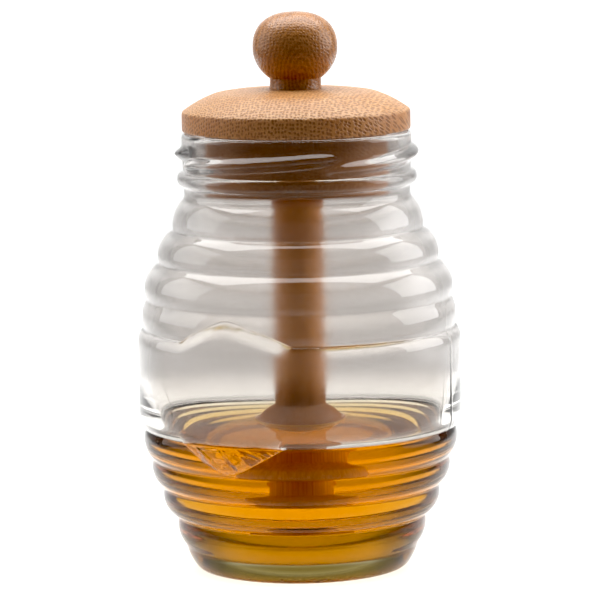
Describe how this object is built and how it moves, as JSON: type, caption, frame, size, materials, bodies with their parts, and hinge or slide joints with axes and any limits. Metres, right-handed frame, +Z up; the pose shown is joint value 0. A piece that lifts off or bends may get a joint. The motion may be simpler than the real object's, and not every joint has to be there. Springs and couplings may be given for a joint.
{
  "type": "honey pot with lid and dipper",
  "caption": "Ringed barrel-shaped clear glass jar part filled with honey, shut by a turned bamboo lid with a round knob; a grooved dipper hangs from the lid into the honey.",
  "frame": {"origin": "middle of the jar's foot, on the plane it stands on", "axes": "+Z up along the jar's axis, -Y towards the shown side, +X to the right as seen in the picture"},
  "size_m": [0.08, 0.08, 0.1372],
  "materials": {
    "clear_glass": "clear moulded glass, glossy",
    "honey": "clear golden honey, glossy",
    "light_bamboo": "bare sanded bamboo, satin, with end grain dots",
    "dark_bamboo": "bare turned bamboo, satin, with fibres along the stick"
  },
  "bodies": {
    "root": {"glass_jar": "clear_glass", "honey": "honey", "bamboo_lid": "light_bamboo", "lid_knob": "light_bamboo", "dipper": "dark_bamboo"}
  },
  "joints": []
}
